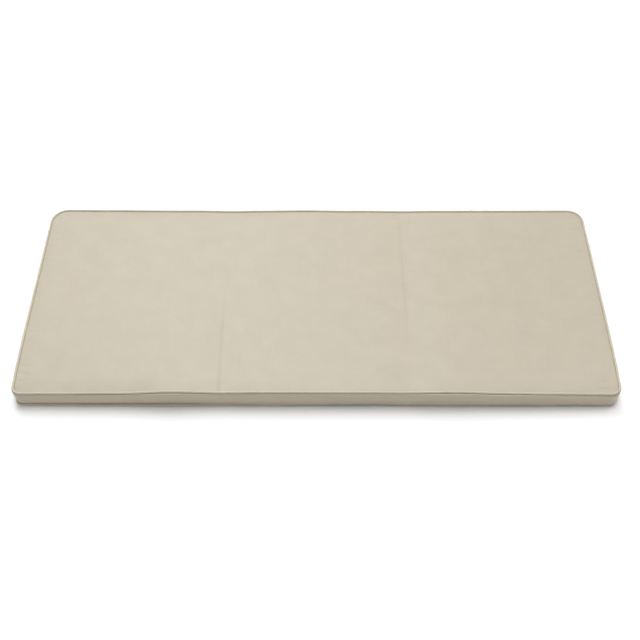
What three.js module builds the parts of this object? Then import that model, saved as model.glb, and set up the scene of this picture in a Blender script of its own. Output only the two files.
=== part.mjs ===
// Seat cushion of a garden swing, lying on its back: a filled, boxed pad that has been folded in three,
// with a piping sewn round its upper edge and another round its lower edge.
// Millimetres. X runs along the width, Y towards the back, Z up. The origin is the middle of the underside.
import * as THREE from "three";
import { mergeVertices } from "three/addons/utils/BufferGeometryUtils.js";

// Overall size, over the pipings
const width = 1200;
const depth = 500;
const thickness = 50;

// Corner radii of the outline
const cornerRadii = { backLeft: 37, backRight: 33, frontRight: 25, frontLeft: 22 };

// The pipings are round, and the pad keeps a small gap to them
const pipingRadius = 2.6;
const pipingGap = 0.3;
const upperPipingHeight = 43.6;
const lowerPipingHeight = 3.1;

// Directions round a piping, in degrees from straight outwards, at which the pad's cloth turns into the seam
const panelTurn = 145;
const boxingTurn = 300;

// The boxing swells a little between the two seams
const boxingSwell = 0.6;

// The upper panel rises from its seam over the shoulder, and the underside drops from its seam to the flat
const shoulderWidth = 60;
const shoulderFullness = 2.4;
const undersideEase = 40;

// The upper edges of the long and of the short sides pull in between the corners, evenly for most of a side
const longSideDrawIn = 1;
const shortSideDrawIn = 0.4;
const drawInEvenness = 4;

// Folds that run from front to back: a narrow pressed line in the middle of a wide, soft hollow
const folds = [
  { x: -192, lineDepth: 1.2, hollowDepth: 1.4 },
  { x: 188, lineDepth: 0.9, hollowDepth: 1.2 },
];
const foldLineWidth = 5;
const foldHollowWidth = 45;
const foldLineAtEdge = 0.5;
const foldLineReach = 8;

// How far the upper edge stands above its mean height, along the front and along the back, and how steeply
// this unevenness dies away towards the middle of the panel
const edgeLiftFade = 6;
const frontEdge = [
  { x: -600, lift: -3.4 },
  { x: -500, lift: -3 },
  { x: -385, lift: -1.6 },
  { x: -285, lift: 1.8 },
  { x: -140, lift: -0.4 },
  { x: 130, lift: 0 },
  { x: 270, lift: 1.6 },
  { x: 375, lift: -1.4 },
  { x: 465, lift: -2.2 },
  { x: 600, lift: -3.8 },
];
const backEdge = [
  { x: -600, lift: 2.2 },
  { x: -440, lift: 2 },
  { x: -320, lift: 1 },
  { x: -110, lift: 1 },
  { x: -30, lift: 2.2 },
  { x: 60, lift: 0.8 },
  { x: 500, lift: 1 },
  { x: 600, lift: 0.6 },
];

// Fineness of the surface: lines at these distances from an edge and from a fold, then even cells
const edgeLines = [0, 6, 14, 25, 40];
const foldLines = [-60, -24, -9, -3.5, 0, 3.5, 9, 24, 60];
const longestCell = 62;
const seamFacets = 4;
const boxingFacets = 4;
const pipingFacets = 8;

const edgeBand = edgeLines.at(-1);
const mergeDistance = 1e-4;

const clothColour = "#cfc4ae";
const pipingColour = "#c9bda6";
const clothRoughness = 0.9;

function smooth(t) {
  const s = Math.min(Math.max(t, 0), 1);
  return s * s * (3 - 2 * s);
}

// 0 at both ends of a stretch and 1 in its middle
function arch(t) {
  return 4 * t * (1 - t);
}

// The lift of an edge at x, eased from one row of its table to the next
function liftAt(edge, x) {
  const next = Math.max(1, edge.findIndex((row) => row.x >= x));
  const from = edge[next - 1];
  const to = edge[next];
  return THREE.MathUtils.lerp(from.lift, to.lift, smooth((x - from.x) / (to.x - from.x)));
}

// Grid lines across a length, with extra ones at the marks
function gridLines(length, marks) {
  const half = length / 2;
  const fixed = [...edgeLines.map((d) => d - half), ...marks, ...edgeLines.map((d) => half - d)];
  fixed.sort((a, b) => a - b);
  const lines = [fixed[0]];
  for (let k = 1; k < fixed.length; k++) {
    const gap = fixed[k] - fixed[k - 1];
    const cells = Math.ceil(gap / longestCell);
    for (let cell = 1; cell <= cells; cell++) {
      lines.push(fixed[k - 1] + (gap * cell) / cells);
    }
  }
  return lines;
}

const foldMarks = folds.flatMap((fold) => foldLines.map((d) => fold.x + d));
const linesX = gridLines(width, foldMarks);
const linesY = gridLines(depth, []);

// A grid line's place when the outline shrinks by an inset: only the band beside the edge gives way
function shrink(value, half, inset) {
  const inner = half - edgeBand;
  const beyond = Math.abs(value) - inner;
  if (beyond <= 0) {
    return Math.abs(value);
  }
  return inner + (beyond * (edgeBand - inset)) / edgeBand;
}

function cornerRadius(x, y) {
  if (y > 0) {
    return x < 0 ? cornerRadii.backLeft : cornerRadii.backRight;
  }
  return x < 0 ? cornerRadii.frontLeft : cornerRadii.frontRight;
}

// A grid point on the outline that lies an inset inside the outer edge, with its corner rounded
function onOutline(x, y, inset) {
  const radius = cornerRadius(x, y) - inset;
  const centreX = width / 2 - inset - radius;
  const centreY = depth / 2 - inset - radius;
  let alongX = shrink(x, width / 2, inset);
  let alongY = shrink(y, depth / 2, inset);
  const p = (alongX - centreX) / radius;
  const q = (alongY - centreY) / radius;
  if (p > 0 && q > 0) {
    alongX = centreX + radius * p * Math.sqrt(1 - (q * q) / 2);
    alongY = centreY + radius * q * Math.sqrt(1 - (p * p) / 2);
  }
  return { x: Math.sign(x) * alongX, y: Math.sign(y) * alongY };
}

function bell(distance, halfWidth) {
  return Math.exp(-((distance / halfWidth) ** 2));
}

// How deep the folds press the cushion at x. The pressed line runs out towards the long edges.
function foldDepthAt(x, towardsEdge) {
  let pressed = 0;
  for (const fold of folds) {
    const line = fold.lineDepth * (1 - (1 - foldLineAtEdge) * towardsEdge ** foldLineReach);
    pressed += fold.hollowDepth * bell(x - fold.x, foldHollowWidth) + line * bell(x - fold.x, foldLineWidth);
  }
  return pressed;
}

// How far a side is drawn in along its length, 1 in the middle and 0 at the corners
function drawnIn(alongSide) {
  return smooth(1 - alongSide ** drawInEvenness);
}

// Moves a point of the evenly sewn cushion to where it lies: sides drawn in, edges uneven, folds pressed in.
// All of it fades towards the underside, which lies flat.
function lie(x, y, z) {
  const u = Math.abs(x) / (width / 2);
  const v = Math.abs(y) / (depth / 2);
  const raised = z / upperPipingHeight;
  const edge = y < 0 ? frontEdge : backEdge;
  const lift = liftAt(edge, x) * v ** edgeLiftFade - foldDepthAt(x, v);
  const narrowing = (raised * shortSideDrawIn * drawnIn(v)) / (width / 2);
  const shallowing = (raised * longSideDrawIn * drawnIn(u)) / (depth / 2);
  return new THREE.Vector3(x * (1 - narrowing), y * (1 - shallowing), z + lift * raised);
}

function sewnPoint(station, inset, z) {
  const { x, y } = onOutline(station.x, station.y, inset);
  return lie(x, y, z);
}

// A point beside a piping, at an angle from straight outwards: how far inside the outer edge, and how high
function beside(pipingHeight, reach, degrees) {
  const angle = THREE.MathUtils.degToRad(degrees);
  return { inset: pipingRadius - reach * Math.cos(angle), z: pipingHeight + reach * Math.sin(angle) };
}

// The pad's seam round a piping, from one angle to another, flat facets clear of the piping by the gap
function seamRound(pipingHeight, fromDegrees, toDegrees) {
  const step = (toDegrees - fromDegrees) / seamFacets;
  const reach = (pipingRadius + pipingGap) / Math.cos(THREE.MathUtils.degToRad(step / 2));
  const points = [];
  for (let k = 0; k <= seamFacets; k++) {
    points.push(beside(pipingHeight, reach, fromDegrees + k * step));
  }
  return points;
}

// The pad's edge from the underside's seam up to the upper panel's seam
function edgeProfile() {
  const lower = seamRound(lowerPipingHeight, 360 - panelTurn, 360 - boxingTurn);
  const upper = seamRound(upperPipingHeight, boxingTurn, panelTurn);
  const from = lower.at(-1);
  const to = upper[0];
  const boxing = [];
  for (let k = 1; k < boxingFacets; k++) {
    const t = k / boxingFacets;
    boxing.push({
      inset: THREE.MathUtils.lerp(from.inset, to.inset, t) - boxingSwell * arch(t),
      z: THREE.MathUtils.lerp(from.z, to.z, t),
    });
  }
  return [...lower, ...boxing, ...upper];
}

// Grid stations round the outer edge, anticlockwise from above
function edgeStations() {
  const [left, right] = [linesX[0], linesX.at(-1)];
  const [front, back] = [linesY[0], linesY.at(-1)];
  return [
    ...linesX.slice(0, -1).map((x) => ({ x, y: front })),
    ...linesY.slice(0, -1).map((y) => ({ x: right, y })),
    ...linesX.slice(1).reverse().map((x) => ({ x, y: back })),
    ...linesY.slice(1).reverse().map((y) => ({ x: left, y })),
  ];
}

// How far a shoulder has risen at a grid line, 0 at the edge and 1 past the shoulder
function shoulder(value, half, band) {
  const inside = Math.min((half - Math.abs(value)) / band, 1);
  return 1 - (1 - inside) ** shoulderFullness;
}

function shoulderAt(x, y, band) {
  return shoulder(x, width / 2, band) * shoulder(y, depth / 2, band);
}

// Rows of points for the upper panel or the underside
function panelRows(seam, height) {
  return linesY.map((y) => linesX.map((x) => sewnPoint({ x, y }, seam.inset, height(x, y))));
}

// Adds the two triangles of each cell between rows of points, facing out when the rows turn anticlockwise
function addCells(positions, rows) {
  for (let j = 1; j < rows.length; j++) {
    for (let i = 1; i < rows[j].length; i++) {
      const [a, b, c, d] = [rows[j - 1][i - 1], rows[j - 1][i], rows[j][i], rows[j][i - 1]];
      for (const point of [a, b, c, a, c, d]) {
        positions.push(point.x, point.y, point.z);
      }
    }
  }
}

function closedGeometry(patches) {
  const positions = [];
  patches.forEach((rows) => addCells(positions, rows));
  const geometry = new THREE.BufferGeometry();
  geometry.setAttribute("position", new THREE.Float32BufferAttribute(positions, 3));
  const merged = mergeVertices(geometry, mergeDistance);
  merged.computeVertexNormals();
  return merged;
}

function padGeometry() {
  const profile = edgeProfile();
  const stations = edgeStations();
  const lowerSeam = profile[0];
  const upperSeam = profile.at(-1);
  const crown = thickness - upperSeam.z;
  const top = panelRows(upperSeam, (x, y) => upperSeam.z + crown * shoulderAt(x, y, shoulderWidth));
  const underside = panelRows(lowerSeam, (x, y) => lowerSeam.z * (1 - shoulderAt(x, y, undersideEase)));
  const boxing = profile.map(({ inset, z }) =>
    [...stations, stations[0]].map((station) => sewnPoint(station, inset, z)),
  );
  return closedGeometry([top, underside.reverse(), boxing]);
}

function pipingGeometry(height) {
  const stations = edgeStations();
  const rows = [];
  for (let k = 0; k <= pipingFacets; k++) {
    const { inset, z } = beside(height, pipingRadius, ((k % pipingFacets) * 360) / pipingFacets);
    rows.push([...stations, stations[0]].map((station) => sewnPoint(station, inset, z)));
  }
  return closedGeometry([rows]);
}

function named(name, geometry, color) {
  const material = new THREE.MeshStandardMaterial({ color, roughness: clothRoughness, metalness: 0 });
  const mesh = new THREE.Mesh(geometry, material);
  mesh.name = name;
  return mesh;
}

const cushion = new THREE.Group();
cushion.add(named("cushion_pad", padGeometry(), clothColour));
cushion.add(named("piping_upper", pipingGeometry(upperPipingHeight), pipingColour));
cushion.add(named("piping_lower", pipingGeometry(lowerPipingHeight), pipingColour));

export default cushion;
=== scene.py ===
import math

import bpy
import numpy as np
from mathutils import Euler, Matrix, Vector


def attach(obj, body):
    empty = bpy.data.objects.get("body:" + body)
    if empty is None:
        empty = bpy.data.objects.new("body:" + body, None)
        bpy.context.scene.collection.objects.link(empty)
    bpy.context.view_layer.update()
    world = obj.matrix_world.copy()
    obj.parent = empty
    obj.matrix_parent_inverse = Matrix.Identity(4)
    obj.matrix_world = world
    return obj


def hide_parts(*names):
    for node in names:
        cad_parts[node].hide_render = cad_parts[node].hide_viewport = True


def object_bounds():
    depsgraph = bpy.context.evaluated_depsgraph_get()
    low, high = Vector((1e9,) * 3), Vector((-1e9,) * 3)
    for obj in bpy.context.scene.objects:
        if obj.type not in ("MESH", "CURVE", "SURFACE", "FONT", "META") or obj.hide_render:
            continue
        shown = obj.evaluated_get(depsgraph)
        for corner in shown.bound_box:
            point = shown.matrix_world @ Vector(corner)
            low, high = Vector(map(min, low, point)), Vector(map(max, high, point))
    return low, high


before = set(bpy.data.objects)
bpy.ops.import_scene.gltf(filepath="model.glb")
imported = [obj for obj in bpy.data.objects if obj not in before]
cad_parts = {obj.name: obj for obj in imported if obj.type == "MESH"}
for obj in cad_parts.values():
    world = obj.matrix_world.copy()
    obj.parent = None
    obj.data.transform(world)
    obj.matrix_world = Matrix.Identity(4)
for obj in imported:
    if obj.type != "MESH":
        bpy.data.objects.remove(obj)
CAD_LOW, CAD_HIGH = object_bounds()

bl_info = {
    "name": "Swing seat cushion",
    "version": (1, 0, 0),
    "blender": (4, 5, 0),
    "location": "3D View > Sidebar > Cushion",
    "description": "Makes a boxed swing seat cushion with piped edges, and a small studio round it",
    "category": "Object",
}

# Metres. X runs along the cushion's width, Y towards its back edge, Z up from the surface that it lies on.
MM = 0.001

# How far the upper seam stands above its mean height, along the front and along the back
FRONT_SEAM = (
    {"x": -0.600, "lift": -5.2 * MM},
    {"x": -0.500, "lift": -4.9 * MM},
    {"x": -0.385, "lift": -3.6 * MM},
    {"x": -0.285, "lift": 1.2 * MM},
    {"x": -0.140, "lift": -0.5 * MM},
    {"x": 0.000, "lift": -0.3 * MM},
    {"x": 0.130, "lift": -0.4 * MM},
    {"x": 0.270, "lift": 0.8 * MM},
    {"x": 0.375, "lift": -3.1 * MM},
    {"x": 0.465, "lift": -4.7 * MM},
    {"x": 0.600, "lift": -6.7 * MM},
)
BACK_SEAM = (
    {"x": -0.600, "lift": 3.3 * MM},
    {"x": -0.440, "lift": 3.1 * MM},
    {"x": -0.320, "lift": 2.2 * MM},
    {"x": -0.110, "lift": 2.2 * MM},
    {"x": -0.030, "lift": 3.3 * MM},
    {"x": 0.060, "lift": 2.0 * MM},
    {"x": 0.500, "lift": 2.2 * MM},
    {"x": 0.600, "lift": 1.8 * MM},
)

# The power with which those lifts fade from the front and back edges to the middle
SEAM_LIFT_FADE = 3

# The top of the front boxing from left to right: where it leaves the upper piping, in degrees round from
# straight outwards, the radius with which it turns down, and how far it bulges
FRONT_TOP = (
    {"x": -0.600, "leaves": 312, "turn": 0.8 * MM, "bulge": 0.4 * MM},
    {"x": -0.530, "leaves": 318, "turn": 0.8 * MM, "bulge": 0.9 * MM},
    {"x": -0.413, "leaves": 319, "turn": 1.1 * MM, "bulge": 1.0 * MM},
    {"x": -0.285, "leaves": 325, "turn": 2.4 * MM, "bulge": 0.8 * MM},
    {"x": -0.200, "leaves": 321, "turn": 1.4 * MM, "bulge": 0.7 * MM},
    {"x": 0.100, "leaves": 321, "turn": 1.4 * MM, "bulge": 0.7 * MM},
    {"x": 0.160, "leaves": 321, "turn": 1.5 * MM, "bulge": 0.5 * MM},
    {"x": 0.240, "leaves": 325, "turn": 2.4 * MM, "bulge": 0.5 * MM},
    {"x": 0.390, "leaves": 324, "turn": 2.3 * MM, "bulge": 0.3 * MM},
    {"x": 0.525, "leaves": 317, "turn": 1.8 * MM, "bulge": 0},
    {"x": 0.600, "leaves": 304, "turn": 1.4 * MM, "bulge": 0},
)

# Its foot: where it leaves the lower piping and how it turns up, how far it stands out just over that
# piping, and where the underside leaves the piping
FRONT_FOOT = (
    {"x": -0.600, "leaves": 102, "turn": 3.0 * MM, "out": -1.2 * MM, "under": 203},
    {"x": -0.413, "leaves": 105, "turn": 3.6 * MM, "out": -1.5 * MM, "under": 203},
    {"x": -0.260, "leaves": 104, "turn": 3.6 * MM, "out": -1.5 * MM, "under": 203},
    {"x": -0.195, "leaves": 88, "turn": 2.6 * MM, "out": -1.5 * MM, "under": 203},
    {"x": -0.050, "leaves": 76, "turn": 2.0 * MM, "out": -1.4 * MM, "under": 203},
    {"x": 0.000, "leaves": 58, "turn": 0.8 * MM, "out": -0.6 * MM, "under": 190},
    {"x": 0.040, "leaves": 45, "turn": 0.2 * MM, "out": 0, "under": 180},
    {"x": 0.120, "leaves": 45, "turn": 0.2 * MM, "out": 0, "under": 180},
    {"x": 0.170, "leaves": 46, "turn": 0.2 * MM, "out": 0, "under": 185},
    {"x": 0.260, "leaves": 46, "turn": 0.2 * MM, "out": 0, "under": 185},
    {"x": 0.340, "leaves": 45, "turn": 0.2 * MM, "out": 0, "under": 182},
    {"x": 0.390, "leaves": 45, "turn": 0.2 * MM, "out": 0, "under": 180},
    {"x": 0.440, "leaves": 45, "turn": 0.2 * MM, "out": 0, "under": 182},
    {"x": 0.500, "leaves": 45, "turn": 0.2 * MM, "out": 0, "under": 180},
    {"x": 0.540, "leaves": 45, "turn": 0.2 * MM, "out": 0, "under": 180},
    {"x": 0.600, "leaves": 50, "turn": 0.8 * MM, "out": 0, "under": 190},
)

# How far the front's lower seam is raised off the surface and pushed forwards
FRONT_LOWER_SEAM = (
    {"x": -0.600, "raised": 0.1 * MM, "pushed": 2.0 * MM},
    {"x": -0.413, "raised": 0.1 * MM, "pushed": 2.2 * MM},
    {"x": -0.260, "raised": 0.2 * MM, "pushed": 2.2 * MM},
    {"x": -0.195, "raised": 0.6 * MM, "pushed": 1.9 * MM},
    {"x": -0.050, "raised": 1.2 * MM, "pushed": 1.8 * MM},
    {"x": 0.000, "raised": 2.2 * MM, "pushed": 1.2 * MM},
    {"x": 0.040, "raised": 3.4 * MM, "pushed": 0.8 * MM},
    {"x": 0.120, "raised": 3.4 * MM, "pushed": 0.8 * MM},
    {"x": 0.170, "raised": 1.8 * MM, "pushed": 1.1 * MM},
    {"x": 0.260, "raised": 1.2 * MM, "pushed": 1.4 * MM},
    {"x": 0.340, "raised": 1.4 * MM, "pushed": 1.5 * MM},
    {"x": 0.390, "raised": 1.9 * MM, "pushed": 1.5 * MM},
    {"x": 0.440, "raised": 1.6 * MM, "pushed": 1.5 * MM},
    {"x": 0.500, "raised": 2.6 * MM, "pushed": 1.6 * MM},
    {"x": 0.540, "raised": 2.6 * MM, "pushed": 1.6 * MM},
    {"x": 0.600, "raised": 0.8 * MM, "pushed": 1.2 * MM},
)

# How far back from the front edge the front's own values reach
FRONT_REACH = 30 * MM

# The boxing of the sides and the back, which is even
EVEN_TOP = {"leaves": 302, "turn": 1.2 * MM, "bulge": 0}
EVEN_FOOT = {"leaves": 84, "turn": 1.2 * MM, "out": 0, "under": 190}
BOXING = {"top": (FRONT_TOP, EVEN_TOP), "foot": (FRONT_FOOT, EVEN_FOOT)}

# Softboxes, by where they stand from the cushion: azimuth 0 is in front and 90 on the right. Widths and
# heights are in metres, and each has its share of the power.
SOFTBOXES = (
    {"name": "overhead", "azimuth": 180, "elevation": 82, "width": 3.0, "height": 4.2, "share": 0.376},
    {"name": "back_left", "azimuth": 205, "elevation": 52, "width": 3.0, "height": 3.0, "share": 0.220},
    {"name": "back", "azimuth": 180, "elevation": 40, "width": 3.0, "height": 3.0, "share": 0.097},
    {"name": "back_right", "azimuth": 130, "elevation": 55, "width": 3.0, "height": 3.0, "share": 0.120},
)

# Folds from front to back. A fold bows a little outwards on its way. A hollow lies along it, and in that a
# line: a fine ridge, or a short slope down on its left with a long one back up on its right. The line comes
# and goes from front to back.
FOLDS = (
    {
        "x": -0.191,
        "bow": -4 * MM,
        "hollow": 1.4 * MM,
        "line": (
            {"y": -0.250, "ridge": 0.9 * MM, "slope": 0.1 * MM},
            {"y": -0.120, "ridge": 0.9 * MM, "slope": 0.1 * MM},
            {"y": -0.030, "ridge": 0.7 * MM, "slope": 0.1 * MM},
            {"y": 0.020, "ridge": 0.1 * MM, "slope": 0.0 * MM},
            {"y": 0.060, "ridge": 0.4 * MM, "slope": 0.2 * MM},
            {"y": 0.100, "ridge": 0.0 * MM, "slope": 0.0 * MM},
            {"y": 0.250, "ridge": 0.0 * MM, "slope": 0.2 * MM},
        ),
    },
    {
        "x": 0.186,
        "bow": 3 * MM,
        "hollow": 1.2 * MM,
        "line": (
            {"y": -0.250, "ridge": 0.0 * MM, "slope": 0.2 * MM},
            {"y": -0.130, "ridge": 0.0 * MM, "slope": 0.1 * MM},
            {"y": -0.080, "ridge": 0.0 * MM, "slope": 0.5 * MM},
            {"y": 0.040, "ridge": 0.1 * MM, "slope": 0.8 * MM},
            {"y": 0.150, "ridge": 0.0 * MM, "slope": 0.5 * MM},
            {"y": 0.250, "ridge": 0.0 * MM, "slope": 0.4 * MM},
        ),
    },
)
FOLD_HOLLOW_WIDTH = 45 * MM
FOLD_RIDGE_WIDTH = 2.4 * MM
FOLD_SLOPE_WIDTH = 8 * MM
FOLD_SLOPE_REACH = 35 * MM

# Single creases in the upper panel: middle, direction from X, length, width and height, hollow if negative
CREASES = (
    {"x": 0.203, "y": 0.062, "degrees": -25, "length": 26 * MM, "width": 5 * MM, "height": 0.52 * MM},
    {"x": 0.205, "y": 0.045, "degrees": -10, "length": 30 * MM, "width": 5 * MM, "height": -0.52 * MM},
    {"x": 0.206, "y": 0.025, "degrees": 5, "length": 26 * MM, "width": 5 * MM, "height": 0.45 * MM},
    {"x": 0.204, "y": 0.008, "degrees": -12, "length": 24 * MM, "width": 5 * MM, "height": -0.45 * MM},
    {"x": 0.150, "y": -0.030, "degrees": -38, "length": 60 * MM, "width": 12 * MM, "height": -0.75 * MM},
    {"x": -0.215, "y": 0.066, "degrees": 10, "length": 40 * MM, "width": 7 * MM, "height": -0.45 * MM},
    {"x": -0.180, "y": -0.070, "degrees": 70, "length": 60 * MM, "width": 6 * MM, "height": -0.52 * MM},
    {"x": -0.575, "y": 0.226, "degrees": 140, "length": 28 * MM, "width": 5 * MM, "height": 0.60 * MM},
    {"x": -0.580, "y": 0.214, "degrees": 150, "length": 26 * MM, "width": 5 * MM, "height": -0.60 * MM},
    {"x": -0.566, "y": 0.232, "degrees": 125, "length": 24 * MM, "width": 5 * MM, "height": -0.60 * MM},
    {"x": 0.574, "y": -0.229, "degrees": 5, "length": 30 * MM, "width": 5 * MM, "height": 0.60 * MM},
    {"x": 0.572, "y": -0.237, "degrees": 2, "length": 34 * MM, "width": 4 * MM, "height": -0.60 * MM},
    {"x": 0.566, "y": -0.221, "degrees": 12, "length": 30 * MM, "width": 5 * MM, "height": -0.45 * MM},
)

# Rows of small puckers where the upper panel is gathered into the seams of its short sides
PUCKERS = (
    {"x": -0.582, "from": -0.225, "to": -0.150, "spacing": 9 * MM, "length": 26 * MM, "height": 0.63 * MM},
    {"x": -0.580, "from": -0.140, "to": 0.090, "spacing": 13 * MM, "length": 30 * MM, "height": 0.45 * MM},
    {"x": -0.580, "from": 0.090, "to": 0.200, "spacing": 10 * MM, "length": 34 * MM, "height": 0.63 * MM},
    {"x": 0.580, "from": -0.200, "to": -0.020, "spacing": 14 * MM, "length": 26 * MM, "height": 0.45 * MM},
    {"x": 0.578, "from": -0.020, "to": 0.230, "spacing": 10 * MM, "length": 34 * MM, "height": 0.72 * MM},
)
PUCKER_WIDTH = 4 * MM
PUCKER_SEED = 11

# How far a pucker lies from its row's line and turns from X, and what share of its step, length, width and
# height it has
PUCKER_SCATTER = 4 * MM
PUCKER_TURN = 16
PUCKER_STEPS = (0.2, 0.8)
PUCKER_LENGTHS = (0.6, 1.2)
PUCKER_WIDTHS = (0.8, 1.3)
PUCKER_HEIGHTS = (0.5, 1.2)

# How far in from its seam the upper panel's folds, creases and puckers come to their full height
PANEL_DETAIL_FADE = 4 * MM

# Lines of the cover's mesh: at these distances from an edge and from a fold, then in even cells
EDGE_LINES = tuple(d * MM for d in (0, 1, 2.2, 3.8, 5.8, 8.4, 11.5, 15, 18.5))
FOLD_LINES = tuple(d * MM for d in (0, 1.2, 2.4, 3.8, 5.6, 8))
CELL_X = 4.2 * MM
CELL_Y = 2.9 * MM

# Share of a cell by which a stretch may be too long for its cells
CELL_SLACK = 0.25

# How far in from the edge the mesh lines give way when the outline shrinks
EDGE_BAND = 60 * MM


def length(name, description, default):
    """A size that a user may change, in metres."""
    return bpy.props.FloatProperty(
        name=name, description=description, default=default, min=0, precision=5, unit="LENGTH"
    )


def tilt(name, description, degrees):
    """An angle that a user may change."""
    return bpy.props.FloatProperty(
        name=name, description=description, default=math.radians(degrees), unit="ROTATION"
    )


def plain_number(name, description, default):
    """A number without a unit that a user may change."""
    return bpy.props.FloatProperty(name=name, description=description, default=default, min=0)


def linear(hex_colour):
    """An sRGB hex colour as linear red, green and blue."""
    channels = [int(hex_colour[k : k + 2], 16) / 255 for k in (1, 3, 5)]
    return [c / 12.92 if c <= 0.04045 else ((c + 0.055) / 1.055) ** 2.4 for c in channels]


def colour(name, description, hex_colour):
    """A colour that a user may change."""
    return bpy.props.FloatVectorProperty(
        name=name,
        description=description,
        default=linear(hex_colour),
        size=3,
        min=0,
        max=1,
        subtype="COLOR",
    )


class CushionSizes(bpy.types.PropertyGroup):
    """Sizes of the cushion's cover and of its pipings"""

    width: length("Width", "Overall width, over the pipings", CAD_HIGH.x - CAD_LOW.x)
    depth: length("Depth", "Overall depth, over the pipings", CAD_HIGH.y - CAD_LOW.y)
    radius_back_left: length("Back left corner", "Radius of this corner of the outline", 37 * MM)
    radius_back_right: length("Back right corner", "Radius of this corner of the outline", 33 * MM)
    radius_front_right: length("Front right corner", "Radius of this corner of the outline", 21 * MM)
    radius_front_left: length("Front left corner", "Radius of this corner of the outline", 17 * MM)
    piping_radius: length("Piping radius", "Half the thickness of a piping", 2.6 * MM)
    piping_gap: length("Piping gap", "Room between a piping and the cover's seam round it", 0.3 * MM)
    upper_piping: length("Upper piping height", "Height of the upper piping's centre line", 43.6 * MM)
    lower_piping: length("Lower piping height", "Height of the lower piping's centre line", 3.1 * MM)
    panel_roll: length("Panel roll", "Radius with which the upper panel turns down into its seam", 0.4 * MM)
    crown: length("Crown", "How far the filling rounds the upper panel up before it swells", 1.5 * MM)
    shoulder_width: length("Shoulder width", "How far in from a seam the crown rises", 30 * MM)
    swell: length("Swell", "Most that the filling's pressure lifts the upper panel", 3.6 * MM)
    front_fullness: plain_number("Front fullness", "Share of crown and swell at the front seam", 0.3)
    side_fullness: plain_number("Side fullness", "Share of crown and swell at the side seams", 0.2)
    boxing_swell: length("Boxing swell", "Most that the pressure pushes out the boxing", 0.7 * MM)
    underside_ease: length("Underside ease", "How far in from its seam the underside comes down", 40 * MM)
    back_draw_in: length("Back draw-in", "How far the upper seam of the back pulls in", 1 * MM)
    short_side_push: length("Short side push", "How far the sides' upper seams are pushed out", 1.2 * MM)


class CushionColours(bpy.types.PropertyGroup):
    """Colours of the cloth and of the studio"""

    cover: colour("Cover cloth", "Woven taupe cloth of the panels and the boxing", "#a9a08e")
    # The piping's colour is the cover's cloth made lighter: a painted highlight along the pipings
    piping: colour("Piping cloth", "The same cloth, cut on the bias, made lighter as a painted highlight", "#b2a995")
    floor: colour("Floor", "Matt white paper", "#f2f2f2")


def smooth(t):
    """From 0 to 1 with an eased start and end."""
    t = np.clip(t, 0, 1)
    return t * t * (3 - 2 * t)


def bell(distance, half_width):
    """1 in the middle and fading on both sides."""
    return np.exp(-((distance / half_width) ** 2))


def arch(t):
    """1 in the middle and 0 at both ends."""
    return 4 * t * (1 - t)


def along_table(table, place, value, at):
    """A column of a table, eased from one row to the next."""
    places = np.array([row[place] for row in table])
    values = np.array([row[value] for row in table])
    k = np.clip(np.searchsorted(places, at), 1, len(table) - 1)
    t = smooth((at - places[k - 1]) / (places[k] - places[k - 1]))
    return values[k - 1] + (values[k] - values[k - 1]) * t


def waves(share, seed, fewest, most):
    """An uneven line of about unit height round a closed seam. Share runs from 0 to 1 round it."""
    random = np.random.default_rng(seed)
    counts = np.arange(fewest, most + 1)
    starts = random.random(len(counts))
    turns = counts * np.asarray(share)[..., None] + starts
    return np.cos(2 * math.pi * turns).sum(-1) / math.sqrt(len(counts) / 2)


def grid_lines(span, cell, marks):
    """Places of the mesh lines across a span, close at both ends and at the marks and even between them."""
    half = span / 2
    fixed = sorted([d - half for d in EDGE_LINES] + list(marks) + [half - d for d in EDGE_LINES])
    lines = [fixed[0]]
    for a, b in zip(fixed, fixed[1:]):
        cells = max(1, math.ceil((b - a) / cell - CELL_SLACK))
        lines.extend(a + (b - a) * k / cells for k in range(1, cells + 1))
    return np.array(lines)


def fold_marks():
    """Places across the cushion of the close mesh lines along the folds."""
    return sorted({fold["x"] + side * d for fold in FOLDS for d in FOLD_LINES for side in (-1, 1)})


def shrink(place, half, inset):
    """A mesh line's distance from the middle when the outline shrinks: only the edge band gives way."""
    beyond = np.maximum(place - (half - EDGE_BAND), 0)
    return place - beyond * inset / EDGE_BAND


def corner_radius(sizes, x, y):
    """Radius of the corner nearest to each point."""
    back = np.where(x < 0, sizes.radius_back_left, sizes.radius_back_right)
    front = np.where(x < 0, sizes.radius_front_left, sizes.radius_front_right)
    return np.where(y > 0, back, front)


# Of the outline's corners, however far inside the outer edge it lies
LEAST_RADIUS = 2 * MM


def on_outline(sizes, x, y, inset):
    """Points of the full rectangle, moved onto the rounded outline an inset inside the outer edge."""
    radius = np.maximum(corner_radius(sizes, x, y) - inset, LEAST_RADIUS)
    centre_x = sizes.width / 2 - inset - radius
    centre_y = sizes.depth / 2 - inset - radius
    along_x = shrink(np.abs(x), sizes.width / 2, inset)
    along_y = shrink(np.abs(y), sizes.depth / 2, inset)
    p = (along_x - centre_x) / radius
    q = (along_y - centre_y) / radius
    corner = (p > 0) & (q > 0)
    p, q = np.where(corner, p, 0), np.where(corner, q, 0)
    along_x = np.where(corner, centre_x + radius * p * np.sqrt(1 - q * q / 2), along_x)
    along_y = np.where(corner, centre_y + radius * q * np.sqrt(1 - p * p / 2), along_y)
    return np.sign(x) * along_x, np.sign(y) * along_y


def fold_x(fold, v):
    """Where a fold runs, at a share v of the way from the middle to the front or back edge."""
    return fold["x"] + fold["bow"] * (1 - v**2)


def nearness_to_front(sizes, y):
    """1 at the front edge and 0 past the front's reach."""
    return smooth((-y - sizes.depth / 2 + FRONT_REACH) / FRONT_REACH)


# The power with which the draw-in and the push of the sides hold up towards the corners
DRAW_IN_EVENNESS = 4


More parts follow.
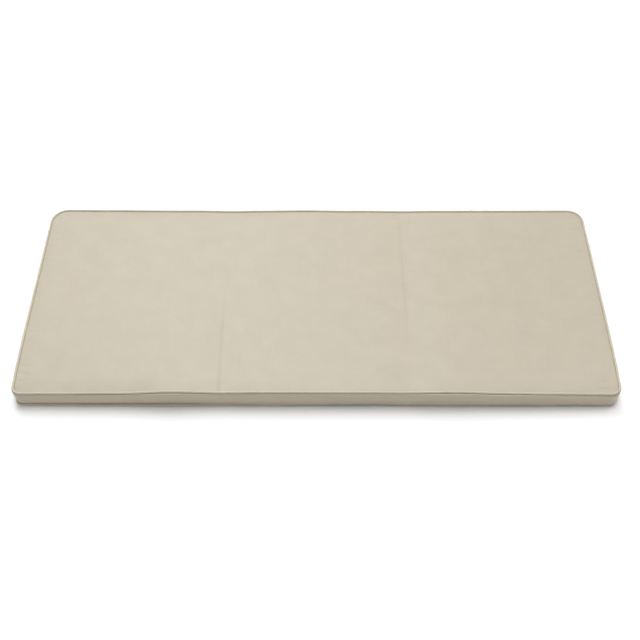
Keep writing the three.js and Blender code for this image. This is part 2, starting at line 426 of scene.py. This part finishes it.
def lie(sizes, x, y, z):
    """Moves points of the evenly sewn cushion to where they lie: back drawn in, short sides pushed out,
    seams uneven, folds pressed in. All of it fades towards the underside, except how far the front's lower
    seam is raised and pushed forwards, which fades upwards."""
    u = np.abs(x) / (sizes.width / 2)
    v = np.abs(y) / (sizes.depth / 2)
    share = z / sizes.upper_piping
    front, back = along_table(FRONT_SEAM, "x", "lift", x), along_table(BACK_SEAM, "x", "lift", x)
    lift = np.where(y < 0, front, back) * v**SEAM_LIFT_FADE
    for fold in FOLDS:
        lift = lift - fold["hollow"] * bell(x - fold_x(fold, v), FOLD_HOLLOW_WIDTH)
    near_front, still_low = nearness_to_front(sizes, y), np.clip(1 - share, 0, 1)
    raised = along_table(FRONT_LOWER_SEAM, "x", "raised", x) * near_front * still_low
    pushed = along_table(FRONT_LOWER_SEAM, "x", "pushed", x) * near_front * still_low**2
    widening = share * sizes.short_side_push * smooth(1 - v**DRAW_IN_EVENNESS) / (sizes.width / 2)
    near_back = smooth(y / (sizes.depth / 2))
    shallowing = share * sizes.back_draw_in * smooth(1 - u**DRAW_IN_EVENNESS) * near_back
    return np.stack([x * (1 + widening), y - shallowing - pushed, z + lift * share + raised], axis=-1)


def arc(centre, radius, start, end, steps):
    """Points of arcs in upright sections, as (outwards, up), from one angle to another in degrees. The
    first index counts along the arc and the second is the section."""
    angles = np.radians(np.linspace(start, end, steps + 1))
    outwards, up = centre[0] + radius * np.cos(angles), centre[1] + radius * np.sin(angles)
    return np.stack([outwards, up], axis=-1)


def towards(centre, reach, degrees):
    """The point at a distance and an angle from a centre, in such a section."""
    angle = np.radians(degrees)
    return centre[0] + reach * np.cos(angle), centre[1] + reach * np.sin(angle)


# Where the upper panel leaves its piping, in degrees round from straight outwards, and how many degrees it
# still rises where it has turned out of its seam
PANEL_LEAVES = 172
FRONT_PANEL_LEAVES = 190
PANEL_SLOPE = 2

# Radius with which the underside turns out of its seam
UNDERSIDE_ROLL = 1.4 * MM

# Steps of the mesh round a piping's seat, round each turn of the cloth and up the boxing
SEAT_STEPS = 4
ROLL_STEPS = 4
BOXING_STEPS = 7


def boxing_at(sizes, x, y, part, column):
    """A measure of the boxing's top or foot, at points of the edge."""
    front, even = BOXING[part]
    return even[column] + (along_table(front, "x", column, x) - even[column]) * nearness_to_front(sizes, y)


def panel_angle(sizes, y):
    """Where the upper panel leaves its piping."""
    return PANEL_LEAVES + (FRONT_PANEL_LEAVES - PANEL_LEAVES) * nearness_to_front(sizes, y)


def panel_edge_height(sizes, y):
    """Height of the upper panel where it has turned out of its seam."""
    reach = sizes.piping_radius + sizes.piping_gap + sizes.panel_roll
    seam = reach * np.sin(np.radians(panel_angle(sizes, y)))
    return sizes.upper_piping + seam + sizes.panel_roll * math.cos(math.radians(PANEL_SLOPE))


def edge_profile(sizes, x, y):
    """Sections of the cover's edge from the underside up to the upper panel, one at each point of the edge:
    how far each line of the mesh lies inside the outer edge, its height, and its share of the way up the
    boxing."""
    reach = sizes.piping_radius + sizes.piping_gap
    low, high = (0, sizes.lower_piping), (0, sizes.upper_piping)
    upper, upper_turn = (boxing_at(sizes, x, y, "top", column) for column in ("leaves", "turn"))
    lower, lower_turn = (boxing_at(sizes, x, y, "foot", column) for column in ("leaves", "turn"))
    underside = boxing_at(sizes, x, y, "foot", "under")
    panel_leaves = panel_angle(sizes, y)
    under = towards(low, reach + UNDERSIDE_ROLL, underside)
    below = towards(low, reach + lower_turn, lower)
    above = towards(high, reach + upper_turn, upper)
    panel = towards(high, reach + sizes.panel_roll, panel_leaves)
    level = np.zeros_like(x)
    lower_part = [
        arc(under, UNDERSIDE_ROLL, level + 270, 180 + underside, ROLL_STEPS),
        arc(low, reach, underside, lower, SEAT_STEPS)[1:-1],
    ]
    boxing = [
        arc(below, lower_turn, lower - 180, level, ROLL_STEPS),
        arc(above, upper_turn, level, upper - 180, ROLL_STEPS),
    ]
    upper_part = [
        arc(high, reach, upper, panel_leaves, SEAT_STEPS)[1:-1],
        arc(panel, sizes.panel_roll, panel_leaves - 180, level + 90 - PANEL_SLOPE, ROLL_STEPS),
    ]
    t = np.linspace(0, 1, BOXING_STEPS + 1)[1:-1, None, None]
    boxing.insert(1, boxing[0][-1] + (boxing[1][0] - boxing[0][-1]) * t)
    lower_part, boxing, upper_part = (np.concatenate(part) for part in (lower_part, boxing, upper_part))
    up = boxing[..., 1]
    share = (up - up[0]) / (up[-1] - up[0])
    shares = np.concatenate([np.zeros(lower_part.shape[:-1]), share, np.ones(upper_part.shape[:-1])])
    points = np.concatenate([lower_part, boxing, upper_part])
    return sizes.piping_radius - points[..., 0], points[..., 1], shares


# The power with which a panel comes level at the end of its shoulder
SHOULDER_FULLNESS = 2.4


def shoulder(distance, width):
    """How far a panel has risen at a distance from its seam, 0 at the seam and 1 past the shoulder."""
    return 1 - (1 - np.clip(distance / width, 0, 1)) ** SHOULDER_FULLNESS


def shoulder_at(sizes, x, y):
    width = sizes.shoulder_width
    return shoulder(sizes.width / 2 - np.abs(x), width) * shoulder(sizes.depth / 2 - np.abs(y), width)


# How far in from its short sides the filling is thinner
SIDE_FULLNESS_REACH = 250 * MM


def fullness(sizes, x, y):
    """Share of the crown and swell. It is less near the front and side seams, where the filling is thin."""
    front, side = sizes.front_fullness, sizes.side_fullness
    front += (1 - front) * smooth(1 + np.minimum(y, 0) / (sizes.depth / 2))
    side += (1 - side) * smooth((sizes.width / 2 - np.abs(x)) / SIDE_FULLNESS_REACH)
    return front * side


def edge_stations(lines_x, lines_y):
    """Mesh lines round the outer edge, anticlockwise from above, as grid indices along X and Y."""
    last_x, last_y = len(lines_x) - 1, len(lines_y) - 1
    front = [(i, 0) for i in range(last_x)]
    right = [(last_x, j) for j in range(last_y)]
    back = [(i, last_y) for i in range(last_x, 0, -1)]
    left = [(0, j) for j in range(last_y, 0, -1)]
    return np.array(front + right + back + left)


def panel_cells(index):
    """Faces of a grid of vertices, facing up."""
    corners = [index[:-1, :-1], index[:-1, 1:], index[1:, 1:], index[1:, :-1]]
    return np.stack(corners, axis=-1).reshape(-1, 4)


def ring_cells(rings):
    """Faces between closed rings of vertices, facing out when the rings turn anticlockwise and go up."""
    rings = np.asarray(rings)
    following = np.roll(rings, -1, axis=1)
    return np.stack([rings[:-1], following[:-1], following[1:], rings[1:]], axis=-1).reshape(-1, 4)


def add_object(name, points, faces, material=None):
    """A smooth-shaded mesh object."""
    mesh = bpy.data.meshes.new(name)
    mesh.from_pydata(points.tolist(), [], faces)
    mesh.shade_smooth()
    if material:
        mesh.materials.append(material)
    piece = bpy.data.objects.new(name, mesh)
    bpy.context.scene.collection.objects.link(piece)
    return piece


def add_grain(piece, corners):
    """Adds the map Grain: where each face corner lies, in metres, on the cloth its piece is cut from."""
    grain = piece.data.uv_layers.new(name="Grain")
    grain.data.foreach_set("uv", np.asarray(corners, np.float32).ravel())


def ring_lengths(points):
    """How far along a closed ring each of its points lies, with the full length last."""
    steps = np.linalg.norm(np.roll(points, -1, axis=0) - points, axis=1)
    return np.concatenate([[0], np.cumsum(steps)])


def strip_places(along, up):
    """Where the face corners of a strip sewn round the cushion lie on it. Along holds how far round each
    station is, with the full length last, and up holds how far across the strip each ring is there."""
    count = len(along) - 1
    k, s = np.divmod(np.arange((len(up) - 1) * count), count)
    following = (s + 1) % count
    across = np.stack([up[k, s], up[k, following], up[k + 1, following], up[k + 1, s]], axis=-1)
    return np.stack([along[np.stack([s, s + 1, s + 1, s], axis=-1)], across], axis=-1).reshape(-1, 2)


# The simulation that swells the cover: the coarse pad's cells and the rings of its boxing, then the frames,
# the pressure and the steps in each frame
SWELL_CELL = 13 * MM
SWELL_RINGS = 4
SWELL_FRAMES = 20
SWELL_PRESSURE = 4.0
SWELL_QUALITY = 4


def swelling_pad(sizes, lines_x, lines_y):
    """A coarse closed pad whose vertex group Held holds its seams. Returns it with its points, the indices
    of its panel's points on their grid, and those of its boxing's rings."""
    stations = edge_stations(lines_x, lines_y)
    x, y = on_outline(sizes, *np.meshgrid(lines_x, lines_y), sizes.piping_radius)
    panel = np.stack([x, y, np.full_like(x, sizes.upper_piping)], axis=-1).reshape(-1, 3)
    panel_index = np.arange(len(panel)).reshape(x.shape)
    seam = panel_index[stations[:, 1], stations[:, 0]]
    heights = np.linspace(0, 1, SWELL_RINGS + 1)[:-1] * sizes.upper_piping
    rings = [np.column_stack([panel[seam, :2], np.full(len(seam), z)]) for z in heights]
    ring_index = len(panel) + np.arange(SWELL_RINGS * len(seam)).reshape(-1, len(seam))
    points = np.concatenate([panel, *rings])
    panel_faces, boxing_faces = panel_cells(panel_index), ring_cells([*ring_index, seam])
    faces = [*panel_faces.tolist(), *boxing_faces.tolist(), ring_index[0][::-1].tolist()]
    pad = add_object("swelling", points, faces)
    pad.vertex_groups.new(name="Held").add([int(k) for k in (*seam, *ring_index[0])], 1.0, "REPLACE")
    return pad, points, panel_index, ring_index


def swollen(sizes, lines_x, lines_y):
    """How far Blender's cloth lifts the upper panel and pushes out the boxing when the filling presses on
    them. Returns the panel's rise on the grid of a coarse pad's lines, and how far the middle of its boxing
    moves at each station round its edge."""
    pad, points, panel_index, ring_index = swelling_pad(sizes, lines_x, lines_y)
    cloth = pad.modifiers.new("Swell", "CLOTH")
    cloth.settings.vertex_group_mass = "Held"
    cloth.settings.use_pressure = True
    cloth.settings.uniform_pressure_force = SWELL_PRESSURE
    cloth.settings.effector_weights.gravity = 0
    cloth.settings.quality = SWELL_QUALITY
    cloth.collision_settings.use_collision = False
    for number in range(1, SWELL_FRAMES + 1):
        bpy.context.scene.frame_set(number)
    evaluated = pad.evaluated_get(bpy.context.evaluated_depsgraph_get())
    moved = np.empty(len(points) * 3, np.float32)
    evaluated.data.vertices.foreach_get("co", moved)
    moved = moved.reshape(-1, 3) - points
    bpy.data.objects.remove(pad)
    bpy.context.scene.frame_set(1)
    rise = capped(moved[panel_index, 2], sizes.swell)
    middle = moved[ring_index[SWELL_RINGS // 2], :2]
    return rise, capped(np.abs(middle).max(-1), sizes.boxing_swell)


def capped(move, most):
    """A move that slows down towards its cap, as cloth does when it comes tight."""
    return most * (1 - np.exp(-np.maximum(move, 0) / most))


def between(places, values, at):
    """Values at even places, read off at other places on a smooth curve through them."""
    step = places[1] - places[0]
    k = np.clip(((at - places[0]) / step).astype(int), 0, len(places) - 2)
    t = (at - places[k]) / step
    slope = np.gradient(values, axis=-1)
    a, b, slope_a, slope_b = values[..., k], values[..., k + 1], slope[..., k], slope[..., k + 1]
    square, cube = 3 * (b - a) - 2 * slope_a - slope_b, 2 * (a - b) + slope_a + slope_b
    return a + t * slope_a + t**2 * square + t**3 * cube


def fold_lines(sizes, x, y):
    """Height that the fine ridge and the slopes along each fold add to the upper panel."""
    v = np.abs(y) / (sizes.depth / 2)
    height = np.zeros_like(x)
    for fold in FOLDS:
        right = x - fold_x(fold, v)
        ridge, slope = (along_table(fold["line"], "y", column, y) for column in ("ridge", "slope"))
        down, back_up = smooth(-right / FOLD_SLOPE_WIDTH), smooth(right / FOLD_SLOPE_REACH)
        height += ridge * bell(right, FOLD_RIDGE_WIDTH) - slope * (1 - np.where(right < 0, down, back_up))
    return height


def all_creases():
    """The single creases, and the puckers worked out from their rows."""
    random = np.random.default_rng(PUCKER_SEED)
    creases = list(CREASES)
    for row in PUCKERS:
        count = round((row["to"] - row["from"]) / row["spacing"])
        for k in range(count):
            creases.append({
                "x": row["x"] + random.uniform(-PUCKER_SCATTER, PUCKER_SCATTER),
                "y": row["from"] + (k + random.uniform(*PUCKER_STEPS)) * row["spacing"],
                "degrees": random.uniform(-PUCKER_TURN, PUCKER_TURN),
                "length": row["length"] * random.uniform(*PUCKER_LENGTHS),
                "width": PUCKER_WIDTH * random.uniform(*PUCKER_WIDTHS),
                "height": row["height"] * random.uniform(*PUCKER_HEIGHTS) * (1 if k % 2 else -1),
            })
    return creases


def crease_heights(x, y):
    """Height that the creases and puckers add to the upper panel."""
    height = np.zeros_like(x)
    for crease in all_creases():
        angle = math.radians(crease["degrees"])
        from_x, from_y = x - crease["x"], y - crease["y"]
        along = from_x * math.cos(angle) + from_y * math.sin(angle)
        across = from_y * math.cos(angle) - from_x * math.sin(angle)
        height += crease["height"] * bell(along, crease["length"] / 2) * bell(across, crease["width"] / 2)
    return height


BOXING_FOLD_WIDTH = 1.6 * MM
BOXING_FOLD_DEPTH = 0.35 * MM

# Shares of the boxing's height: over which a fold begins at each end of it, where it stands out or in over
# its foot, how far up and down from there, and over which that begins
BOXING_FOLD_FADE = 0.15
FOOT_PLACE = 0.12
FOOT_REACH = 0.2
FOOT_FADE = 0.04


def boxing_folds(x, share):
    """How far each fold presses the boxing in, at a share of the way up."""
    folds = sum(bell(x - fold["x"], BOXING_FOLD_WIDTH) for fold in FOLDS) * BOXING_FOLD_DEPTH
    return folds * smooth(np.minimum(share, 1 - share) / BOXING_FOLD_FADE)


def upper_panel(sizes, lines_x, lines_y, inset, rise):
    """Points of the upper panel on the grid of mesh lines, where it swells by the rise."""
    grid_x, grid_y = np.meshgrid(lines_x, lines_y)
    x, y = on_outline(sizes, grid_x, grid_y, inset)
    z = fullness(sizes, x, y) * (rise + sizes.crown * shoulder_at(sizes, grid_x, grid_y))
    z += panel_edge_height(sizes, grid_y)
    from_edge = np.minimum(sizes.width / 2 - np.abs(grid_x), sizes.depth / 2 - np.abs(grid_y))
    z += (fold_lines(sizes, x, y) + crease_heights(x, y)) * smooth(from_edge / PANEL_DETAIL_FADE)
    return lie(sizes, x, y, z)


UNDERSIDE_RINGS = 4


def cover_sections(sizes, x, y):
    """The edge's sections, begun further in, where the underside lies flat."""
    insets, heights, shares = edge_profile(sizes, x, y)
    ease = np.linspace(1, 0, UNDERSIDE_RINGS + 1)[:-1, None]
    insets = np.concatenate([insets[:1] + sizes.underside_ease * ease, insets])
    heights = np.concatenate([heights[:1] * (1 - ease) ** SHOULDER_FULLNESS, heights])
    return insets, heights, np.concatenate([0 * ease * shares[:1], shares])


def cover_rings(sizes, x, y, sections, swell):
    """Rings of the cover at every line of its sections but the last, which the upper panel holds."""
    swell = swell + boxing_at(sizes, x, y, "top", "bulge")
    foot_out = boxing_at(sizes, x, y, "foot", "out")
    rings = []
    for inset, height, share in zip(*(section[:-1] for section in sections)):
        foot = foot_out * bell(share - FOOT_PLACE, FOOT_REACH) * smooth(share / FOOT_FADE)
        out = swell * arch(share) + foot - boxing_folds(x, share)
        rings.append(lie(sizes, *on_outline(sizes, x, y, inset - out), height))
    return rings


def cover_mesh(sizes, material):
    """The filled cover as one closed mesh: underside, edge with its seams round the pipings, upper panel."""
    lines_x = grid_lines(sizes.width, CELL_X, fold_marks())
    lines_y = grid_lines(sizes.depth, CELL_Y, [])
    stations = edge_stations(lines_x, lines_y)
    station_x, station_y = lines_x[stations[:, 0]], lines_y[stations[:, 1]]
    sections = cover_sections(sizes, station_x, station_y)

    # The simulation's coarse swell, read off at the fine mesh lines
    coarse_x, coarse_y = (
        np.linspace(-0.5, 0.5, round(span / SWELL_CELL) + 1) * span for span in (sizes.width, sizes.depth)
    )
    rise, bulge = swollen(sizes, coarse_x, coarse_y)
    rise = between(coarse_y, between(coarse_x, rise, lines_x).T, lines_y).T
    bulge = station_values(sizes, coarse_x, coarse_y, bulge, station_x, station_y)

    # Points and faces
    panel = upper_panel(sizes, lines_x, lines_y, sections[0][-1, 0], rise)
    panel_index = np.arange(panel[..., 0].size).reshape(panel.shape[:2])
    rings = cover_rings(sizes, station_x, station_y, sections, bulge)
    ring_index = panel_index.size + np.arange(len(rings) * len(stations)).reshape(len(rings), -1)
    ring_index = [*ring_index, panel_index[stations[:, 1], stations[:, 0]]]
    points = np.concatenate([panel.reshape(-1, 3), *rings])
    panel_faces, ring_faces, flat = panel_cells(panel_index), ring_cells(ring_index), ring_index[0][::-1]
    faces = [*panel_faces.tolist(), *ring_faces.tolist(), flat.tolist()]
    cover = add_object("cushion_cover", points, faces, material)

    # Their places on the cut pieces
    steps = np.hypot(np.diff(sections[0], axis=0), np.diff(sections[1], axis=0))
    up = np.concatenate([np.zeros_like(steps[:1]), np.cumsum(steps, axis=0)])
    on_strip = strip_places(ring_lengths(rings[-1]), up)
    add_grain(cover, np.concatenate([points[panel_faces.ravel(), :2], on_strip, points[flat, :2]]))
    return cover


def station_values(sizes, coarse_x, coarse_y, values, x, y):
    """Values at the coarse pad's stations, read off at other stations by their place round the edge."""

    def place_round(x, y):
        """How far round the edge a station is from the front left corner."""
        half_x, half_y = sizes.width / 2, sizes.depth / 2
        place = 2 * sizes.width + sizes.depth + half_y - y
        place = np.where(np.isclose(y, half_y), sizes.width + sizes.depth + half_x - x, place)
        place = np.where(np.isclose(x, half_x), sizes.width + half_y + y, place)
        return np.where(np.isclose(y, -half_y), half_x + x, place)

    stations = edge_stations(coarse_x, coarse_y)
    places = place_round(coarse_x[stations[:, 0]], coarse_y[stations[:, 1]])
    return np.interp(place_round(x, y), places, values, period=2 * (sizes.width + sizes.depth))


PIPING_FACETS = 14
PIPING_STEP = 3 * MM

# How far a piping wanders inwards, what share of its radius comes and goes, and the fewest and most waves
# all round that each of the two is made of
PIPING_WANDER = 0.12 * MM
PIPING_UNEVENNESS = 0.015
WANDER_WAVES = (40, 120)
UNEVENNESS_WAVES = (90, 260)


def piping_mesh(sizes, name, height, seed, material):
    """A piping: a strip of cloth cut on the bias and sewn round a cord, all the way round the cushion."""
    lines_x = grid_lines(sizes.width, PIPING_STEP, fold_marks())
    lines_y = grid_lines(sizes.depth, PIPING_STEP, [])
    stations = edge_stations(lines_x, lines_y)
    station_x, station_y = lines_x[stations[:, 0]], lines_y[stations[:, 1]]
    along = ring_lengths(np.stack([station_x, station_y], axis=-1))
    round_edge = along[:-1] / along[-1]
    wander = PIPING_WANDER * waves(round_edge, seed, *WANDER_WAVES)
    radius = sizes.piping_radius * (1 + PIPING_UNEVENNESS * waves(round_edge, seed + 1, *UNEVENNESS_WAVES))
    rings = []
    for angle in np.linspace(0, 2 * math.pi, PIPING_FACETS, endpoint=False):
        inset = sizes.piping_radius - radius * math.cos(angle) + np.maximum(wander, 0)
        x, y = on_outline(sizes, station_x, station_y, inset)
        rings.append(lie(sizes, x, y, height + radius * math.sin(angle)))
    index = np.arange(PIPING_FACETS * len(stations)).reshape(PIPING_FACETS, -1)
    faces = ring_cells([*index, index[0]])
    piping = add_object(name, np.concatenate(rings), faces.tolist(), material)
    around = np.linspace(0, 2 * math.pi * sizes.piping_radius, PIPING_FACETS + 1)
    bias = np.array([[1, 1], [-1, 1]]) / math.sqrt(2)
    add_grain(piping, strip_places(along, np.outer(around, np.ones(len(stations)))) @ bias)
    return piping


def add_node(tree, kind, settings=(), inputs=()):
    """Adds a node, sets its properties, and gives its inputs their values or links."""
    node = tree.nodes.new(kind)
    for key, value in dict(settings).items():
        setattr(node, key, value)
    for key, value in dict(inputs).items():
        if isinstance(value, bpy.types.NodeSocket):
            tree.links.new(value, node.inputs[key])
        else:
            node.inputs[key].default_value = value
    return node


def new_material(name):
    material = bpy.data.materials.new(name)
    material.use_nodes = True
    material.node_tree.nodes.clear()
    return material


# The real yarns lie about 0.5 mm apart, too fine to show from two metres, so they are drawn wider
YARN_SPACING = 1.2 * MM
WEAVE_DEPTH = 0.12 * MM
WEAVE_STRENGTH = 0.4
FUZZ_SIZE = 2.5 * MM
FUZZ_HEIGHT = 0.8
SLUB_LENGTH = 55 * MM
SLUB_WIDTH = 3 * MM
SLUB_SHADE = 0.045
MOTTLE_SIZE = 45 * MM
MOTTLE_SHADE = 0.11
NOISE_ROUGHNESS = 0.6

# Of dyed polyester yarn, spun, with the soft gloss that the photo shows
CLOTH_ROUGHNESS = 0.42
CLOTH_IOR = 1.5
CLOTH_SPECULAR = 0.47


def woven_cloth(name, base):
    """Plain-woven polyester, dyed in the yarn. Its spun yarns are matt with a soft gloss that shows as a
    pale bloom towards the light, and slubs in them leave faint streaks both ways across the cloth."""
    material = new_material(name)
    tree = material.node_tree
    grain = add_node(tree, "ShaderNodeUVMap", {"uv_map": "Grain"}).outputs["UV"]

    def scaled(x, y):
        stretch = {"Scale": (1 / x, 1 / y, 1)}
        return add_node(tree, "ShaderNodeMapping", inputs={"Vector": grain, **stretch}).outputs[0]

    def noise(x, y, detail):
        inputs = {"Vector": scaled(x, y), "Scale": 1.0, "Detail": detail, "Roughness": NOISE_ROUGHNESS}
        return add_node(tree, "ShaderNodeTexNoise", {"noise_dimensions": "2D"}, inputs).outputs["Fac"]

    def maths(operation, *values):
        inputs = dict(enumerate(values))
        return add_node(tree, "ShaderNodeMath", {"operation": operation}, inputs).outputs[0]

    threads = add_node(tree, "ShaderNodeSeparateXYZ", inputs={0: scaled(YARN_SPACING, YARN_SPACING)})
    across, down = (maths("SINE", maths("MULTIPLY", threads.outputs[k], math.pi)) for k in (0, 1))
    weave = maths("MULTIPLY", across, down)
    slubs = maths("ADD", noise(SLUB_LENGTH, SLUB_WIDTH, 3.0), noise(SLUB_WIDTH, SLUB_LENGTH, 3.0))
    mottle = noise(MOTTLE_SIZE, MOTTLE_SIZE, 4.0)
    shade = maths("MULTIPLY_ADD", maths("SUBTRACT", slubs, 1.0), SLUB_SHADE, 1.0)
    shade = maths("MULTIPLY_ADD", maths("SUBTRACT", mottle, 0.5), MOTTLE_SHADE, shade)
    tint = add_node(tree, "ShaderNodeHueSaturation", inputs={"Color": (*base, 1), "Value": shade})
    height = maths("MULTIPLY_ADD", noise(FUZZ_SIZE, FUZZ_SIZE, 3.0), FUZZ_HEIGHT, weave)
    relief = {"Height": height, "Strength": WEAVE_STRENGTH, "Distance": WEAVE_DEPTH}
    bump = add_node(tree, "ShaderNodeBump", inputs=relief)
    surface = {
        "Base Color": tint.outputs[0],
        "Roughness": CLOTH_ROUGHNESS,
        "IOR": CLOTH_IOR,
        "Specular IOR Level": CLOTH_SPECULAR,
        "Normal": bump.outputs[0],
    }
    shader = add_node(tree, "ShaderNodeBsdfPrincipled", inputs=surface)
    add_node(tree, "ShaderNodeOutputMaterial", inputs={"Surface": shader.outputs[0]})
    return material


def matt_paper(base):
    """Seamless background paper, uncoated: a plain matt white."""
    material = new_material("Seamless paper, matt")
    tree = material.node_tree
    surface = {"Base Color": (*base, 1), "Roughness": 1.0, "Specular IOR Level": 0.0}
    shader = add_node(tree, "ShaderNodeBsdfPrincipled", inputs=surface)
    add_node(tree, "ShaderNodeOutputMaterial", inputs={"Surface": shader.outputs[0]})
    return material


class MakeCover(bpy.types.Operator):
    """Makes the filled cover of upper panel, boxing and lower panel"""

    bl_idname = "cushion.make_cover"
    bl_label = "Make cover"

    def execute(self, context):
        sizes, colours = context.scene.cushion_sizes, context.scene.cushion_colours
        cover = cover_mesh(sizes, woven_cloth("Woven polyester, plain weave", colours.cover))
        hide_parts("cushion_pad")
        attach(cover, "root")
        return {"FINISHED"}


class MakePipings(bpy.types.Operator):
    """Makes the upper and the lower piping"""

    bl_idname = "cushion.make_pipings"
    bl_label = "Make pipings"

    def execute(self, context):
        sizes, colours = context.scene.cushion_sizes, context.scene.cushion_colours
        # Same cloth as the cover, but with a lighter base colour: a painted highlight on the pipings
        material = woven_cloth("Woven polyester, cut on the bias", colours.piping)
        for name, height, seed in (("upper", sizes.upper_piping, 3), ("lower", sizes.lower_piping, 5)):
            piping = piping_mesh(sizes, f"{name}_piping", height, seed, material)
            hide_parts(f"piping_{name}")
            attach(piping, "root")
        return {"FINISHED"}


class StudioSettings(bpy.types.PropertyGroup):
    """Camera and lights"""

    focal_length: bpy.props.FloatProperty(
        name="Focal length", description="Of the camera, in millimetres", default=53.95, min=1
    )
    camera_place: bpy.props.FloatVectorProperty(
        name="Camera place",
        description="Where the camera stands",
        default=(0.0104, -1.3040, 1.5987),
        precision=4,
        subtype="TRANSLATION",
        unit="LENGTH",
    )
    camera_pitch: tilt("Camera pitch", "How far the camera looks down", 51.5)
    camera_yaw: tilt("Camera yaw", "How far the camera looks left", 0.161)
    camera_roll: tilt("Camera roll", "How far the camera leans", -0.079)
    floor_size: length("Floor size", "Side of the square floor", 7.0)
    light_distance: length("Light distance", "From the cushion to each softbox", 8.0)
    light_power: bpy.props.FloatProperty(
        name="Light power",
        description="Of all softboxes, to be shared out",
        default=1000.0,
        min=0,
        unit="POWER",
    )
    horizon: plain_number("Horizon brightness", "Even light from all round, at the floor", 1.0)
    walls: plain_number("Wall brightness", "Even light from all round, over the horizon", 1.8)
    ceiling: plain_number("Ceiling brightness", "Even light from above", 0.15)


# Elevations, in degrees, at which the glow of the room changes
HORIZON = (4, 11)
CEILING = (18, 22)


def studio_world(horizon, walls, ceiling):
    """Even light from a white room: white at the horizon, brighter over it, and a darker ceiling."""
    world = bpy.data.worlds.new("Studio")
    world.use_nodes = True
    tree = world.node_tree
    tree.nodes.clear()
    direction = add_node(tree, "ShaderNodeTexCoord").outputs["Generated"]
    upwards = add_node(tree, "ShaderNodeSeparateXYZ", inputs={0: direction}).outputs["Z"]

    def change(elevations, start, end):
        low, high = (math.sin(math.radians(e)) for e in elevations)
        ends = {"From Min": low, "From Max": high, "To Min": start, "To Max": end}
        settings = {"interpolation_type": "SMOOTHSTEP"}
        return add_node(tree, "ShaderNodeMapRange", settings, {"Value": upwards, **ends}).outputs[0]

    low_glow, high_glow = change(HORIZON, horizon, walls), change(CEILING, 0.0, ceiling - walls)
    glow = add_node(tree, "ShaderNodeMath", {"operation": "ADD"}, {0: low_glow, 1: high_glow})
    light = {"Color": (1, 1, 1, 1), "Strength": glow.outputs[0]}
    background = add_node(tree, "ShaderNodeBackground", inputs=light)
    add_node(tree, "ShaderNodeOutputWorld", inputs={"Surface": background.outputs[0]})
    return world


def add_softbox(row, distance, power):
    """A rectangular softbox that faces the cushion."""
    a, e = math.radians(row["azimuth"]), math.radians(row["elevation"])
    out = Vector((math.sin(a) * math.cos(e), -math.cos(a) * math.cos(e), math.sin(e)))
    light = bpy.data.lights.new(row["name"], "AREA")
    light.shape = "RECTANGLE"
    light.size, light.size_y = row["width"], row["height"]
    light.energy = power * row["share"]
    softbox = bpy.data.objects.new(f"{row['name']}_softbox", light)
    softbox.location = out * distance
    softbox.rotation_euler = out.to_track_quat("Z", "Y").to_euler()
    bpy.context.scene.collection.objects.link(softbox)


def add_camera(studio):
    """The camera, turned left, tipped down and then leant over."""
    data = bpy.data.cameras.new("camera")
    data.lens = studio.focal_length
    camera = bpy.data.objects.new("camera", data)
    camera.location = studio.camera_place
    turn = Euler((0, 0, studio.camera_yaw)).to_matrix()
    tip = Euler((math.pi / 2 - studio.camera_pitch, 0, 0)).to_matrix()
    lean = Euler((0, 0, studio.camera_roll)).to_matrix()
    camera.rotation_euler = (turn @ tip @ lean).to_euler()
    bpy.context.scene.collection.objects.link(camera)
    bpy.context.scene.camera = camera


class MakeStage(bpy.types.Operator):
    """Makes the floor, the lights and the camera"""

    bl_idname = "cushion.make_stage"
    bl_label = "Make stage"

    def execute(self, context):
        scene = context.scene
        studio = scene.cushion_studio
        half = studio.floor_size / 2
        corners = np.array([(-half, -half, 0), (half, -half, 0), (half, half, 0), (-half, half, 0)])
        add_object("floor", corners, [[0, 1, 2, 3]], matt_paper(scene.cushion_colours.floor))
        for row in SOFTBOXES:
            add_softbox(row, studio.light_distance, studio.light_power)
        scene.world = studio_world(studio.horizon, studio.walls, studio.ceiling)
        scene.view_settings.view_transform = "Standard"
        add_camera(studio)
        return {"FINISHED"}


class CushionPanel(bpy.types.Panel):
    """The cushion's operators and settings"""

    bl_idname = "VIEW3D_PT_cushion"
    bl_label = "Swing seat cushion"
    bl_space_type = "VIEW_3D"
    bl_region_type = "UI"
    bl_category = "Cushion"

    def draw(self, context):
        scene = context.scene
        for operator in (MakeStage, MakeCover, MakePipings):
            self.layout.operator(operator.bl_idname)
        for group in (scene.cushion_sizes, scene.cushion_colours, scene.cushion_studio):
            box = self.layout.box()
            for key in group.__annotations__:
                box.prop(group, key)


CLASSES = (CushionSizes, CushionColours, StudioSettings, MakeStage, MakeCover, MakePipings, CushionPanel)


def register():
    for cls in CLASSES:
        bpy.utils.register_class(cls)
    bpy.types.Scene.cushion_sizes = bpy.props.PointerProperty(type=CushionSizes)
    bpy.types.Scene.cushion_colours = bpy.props.PointerProperty(type=CushionColours)
    bpy.types.Scene.cushion_studio = bpy.props.PointerProperty(type=StudioSettings)


def unregister():
    del bpy.types.Scene.cushion_sizes
    del bpy.types.Scene.cushion_colours
    del bpy.types.Scene.cushion_studio
    for cls in reversed(CLASSES):
        bpy.utils.unregister_class(cls)


def main():
    register()
    bpy.ops.cushion.make_stage()
    bpy.ops.cushion.make_cover()
    bpy.ops.cushion.make_pipings()


if __name__ == "__main__":
    main()
